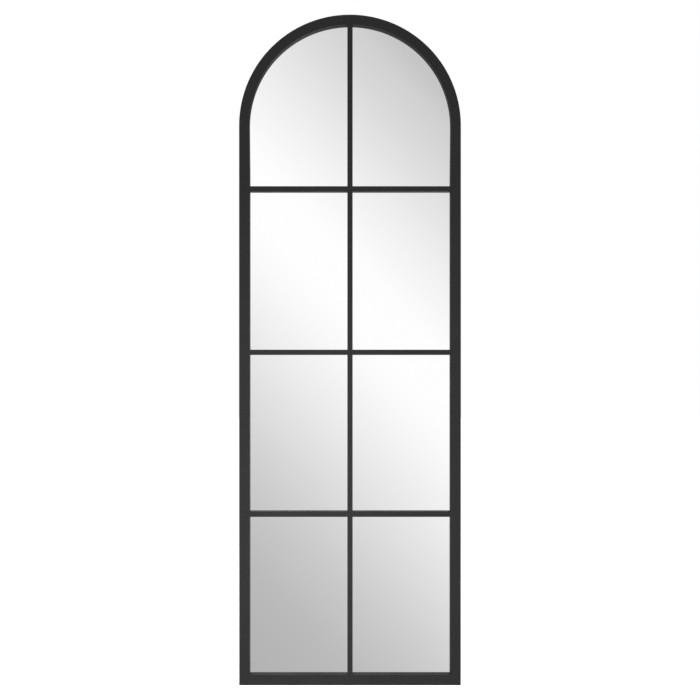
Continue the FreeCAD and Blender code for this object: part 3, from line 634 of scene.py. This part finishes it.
def ring(name, xc, body):
    """The wire, bent to a D, with its straight side in the strap's roll."""
    out, bend, reach = 0.00695, 0.0020, 0.01375
    bow = HINGE_Z - reach + out
    line = [(xc + (out - bend) * (1 - 2 * i / 6), HINGE_Z) for i in range(6)]
    line += arc(xc - out + bend, HINGE_Z - bend, bend, 90.0, 180.0, 12)
    line += [(xc - out, HINGE_Z - bend + (bow - HINGE_Z + bend) * i / 3) for i in (1, 2)]
    line += arc(xc, bow, out, 180.0, 360.0, 56)
    line += [(xc + out, bow + (HINGE_Z - bend - bow) * i / 3) for i in (1, 2)]
    line += arc(xc + out - bend, HINGE_Z - bend, bend, 0.0, 90.0, 12)[:-1]
    path = []
    for i, (x, z) in enumerate(line):
        a, b = line[i - 1], line[(i + 1) % len(line)]
        tx, tz = b[0] - a[0], b[1] - a[1]
        size = math.hypot(tx, tz)
        path.append(((x, HINGE_Y, z), (tz / size, 0.0, -tx / size), (0.0, 1.0, 0.0)))
    section = [(WIRE * math.cos(2 * math.pi * i / 24), WIRE * math.sin(2 * math.pi * i / 24)) for i in range(24)]
    bm = bmesh.new()
    swept(bm, path, section, closed=True)
    return make(name, bm, "zinc_plate", body=body, weighted=False)


for word, side in (("left", -1), ("right", 1)):
    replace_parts(strap(word + "_rolled_strap", side * HANGER_X), word + "_hanger_strap")
    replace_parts(ring(word + "_wire_ring", side * HANGER_X, word + "_ring"), word + "_ring")

# ---------------------------------------------------------------- bumpers
for word, side in (("left", -1), ("right", 1)):
    bm = bmesh.new()
    profile = [(0.0, -8.0), (5.8, -8.0), (6.0, -7.8), (6.0, -7.35), (5.9, -7.1), (5.72, -6.6)]
    profile += [(5.72 - 0.92 * t, -6.6 + 5.7 * t) for t in (0.25, 0.5, 0.75, 1.0)]
    profile += [(4.0 + 0.76 * math.cos(math.radians(t)), -0.76 + 0.76 * math.sin(math.radians(t))) for t in (10, 30, 50, 70, 90)]
    profile += [(3.2, -0.02), (2.4, -0.14), (1.4, -0.26), (0.0, -0.32)]
    lathe(bm, [(r / 1000, y / 1000) for r, y in profile], (side * 0.236, LOW + 0.046), 56)
    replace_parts(make(word + "_rubber_foot", bm, "black_rubber", sharp=40.0), word + "_bumper")

# ---------------------------------------------------------------- stage
FLOOR = CAD_LOW[2] - 0.12


def plane(name, corners, material):
    mesh = bpy.data.meshes.new(name)
    mesh.from_pydata(corners, [], [tuple(range(len(corners)))])
    obj = bpy.data.objects.new(name, mesh)
    obj.data.materials.append(material)
    scene.collection.objects.link(obj)
    obj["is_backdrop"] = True
    return obj


floor_mat = bpy.data.materials.new("pale_floor")
floor_mat.use_nodes = True
b = floor_mat.node_tree.nodes["Principled BSDF"]
b.inputs["Base Color"].default_value = (0.9, 0.9, 0.9, 1)
b.inputs["Roughness"].default_value = 0.9
b.inputs["Emission Color"].default_value = (1, 1, 1, 1)
b.inputs["Emission Strength"].default_value = 0.75
floor = plane("floor", [(-14, -14, FLOOR), (14, -14, FLOOR), (14, 14, FLOOR), (-14, 14, FLOOR)], floor_mat)
floor.visible_glossy = False

# The room is white to look at. As light and in reflections it is a studio: a
# bright band slants across it in front of the mirror, falling to the right and
# greyer above and below, and a fainter band crosses far to the left.
world = bpy.data.worlds.new("studio")
world.use_nodes = True
n, l = world.node_tree.nodes, world.node_tree.links
n.clear()
toward = n.new("ShaderNodeTexCoord").outputs["Generated"]


def along(direction):
    """How far the ray goes in a direction, -1 to 1."""
    size = math.sqrt(sum(v * v for v in direction))
    node = n.new("ShaderNodeVectorMath")
    node.operation = "DOT_PRODUCT"
    node.inputs[1].default_value = tuple(v / size for v in direction)
    l.new(toward, node.inputs[0])
    return node.outputs["Value"]


def tones(value, low, high, stops):
    """A grey ramp of (value, tone) stops between low and high."""
    fit = n.new("ShaderNodeMapRange")
    fit.inputs["From Min"].default_value = low
    fit.inputs["From Max"].default_value = high
    l.new(value, fit.inputs["Value"])
    ramp = n.new("ShaderNodeValToRGB")
    l.new(fit.outputs[0], ramp.inputs["Fac"])
    while len(ramp.color_ramp.elements) > 1:
        ramp.color_ramp.elements.remove(ramp.color_ramp.elements[0])
    for i, (at, tone) in enumerate(stops):
        part = (at - low) / (high - low)
        e = ramp.color_ramp.elements[0] if i == 0 else ramp.color_ramp.elements.new(part)
        e.position = part
        e.color = (tone, tone, tone, 1.0)
    ramp.color_ramp.interpolation = "B_SPLINE"
    return ramp.outputs["Color"]


slant = along((1.04, 0.0, 1.0))
room = tones(
    slant,
    -0.5,
    0.5,
    [
        (-0.40, 0.36), (-0.29, 0.42), (-0.22, 0.465), (-0.198, 0.468), (-0.154, 0.530), (-0.093, 0.700), (-0.026, 0.917),
        (0.032, 1.055), (0.073, 0.950), (0.122, 0.808), (0.177, 0.612), (0.192, 0.595), (0.28, 0.42), (0.40, 0.36),
    ],
)
far = tones(slant, -1.0, 1.0, [(-1.0, 0.30), (-0.90, 0.36), (-0.83, 0.46), (-0.77, 0.66), (-0.70, 0.97), (-0.64, 0.80), (-0.56, 0.58), (-0.42, 0.36), (0.42, 0.36), (0.62, 0.70), (0.80, 0.95), (1.0, 0.60)])
off = n.new("ShaderNodeMath")
off.operation = "ABSOLUTE"
l.new(slant, off.inputs[0])
inside = n.new("ShaderNodeMapRange")
inside.interpolation_type = "SMOOTHSTEP"
for socket, value in zip(("From Min", "From Max", "To Min", "To Max"), (0.30, 0.46, 1.0, 0.0)):
    inside.inputs[socket].default_value = value
l.new(off.outputs[0], inside.inputs["Value"])
both = n.new("ShaderNodeMix")
both.data_type = "RGBA"
l.new(inside.outputs[0], both.inputs["Factor"])
a, b = [s for s in both.inputs if s.type == "RGBA"]
l.new(far, a)
l.new(room, b)
wide = [s for s in both.outputs if s.type == "RGBA"][0]

out = n.new("ShaderNodeOutputWorld")
seen = n.new("ShaderNodeBackground")
seen.inputs["Color"].default_value = (1, 1, 1, 1)
lit = n.new("ShaderNodeBackground")
l.new(wide, lit.inputs["Color"])
lit.inputs["Strength"].default_value = 1.027
path = n.new("ShaderNodeLightPath")
choose = n.new("ShaderNodeMixShader")
l.new(path.outputs["Is Camera Ray"], choose.inputs[0])
l.new(lit.outputs[0], choose.inputs[1])
l.new(seen.outputs[0], choose.inputs[2])
l.new(choose.outputs[0], out.inputs["Surface"])
scene.world = world


def softbox(name, place, target, size, watts):
    data = bpy.data.lights.new(name, "AREA")
    data.shape, data.size, data.energy = "DISK", size, watts
    lamp = bpy.data.objects.new(name, data)
    scene.collection.objects.link(lamp)
    lamp.location = place
    lamp.rotation_euler = (Vector(target) - Vector(place)).to_track_quat("-Z", "Y").to_euler()
    lamp.visible_camera = False
    return lamp


# A strip light in front, low and a little to the left, that the mirror doesn't
# show, and one for the back, high on one side, so that its fittings are shaded.
front = softbox("front_strip", (-0.10, FRONT - 0.70, MIDDLE - 0.35), (-0.10, 0.0, MIDDLE - 0.35), 0.25, 10.5)
front.data.shape, front.data.size_y = "RECTANGLE", 1.0
front.visible_glossy = False
back = softbox("back_softbox", (-1.7, 1.9, 0.9), (0.0, 0.0, -0.45), 0.9, 70.0)
back.visible_glossy = False
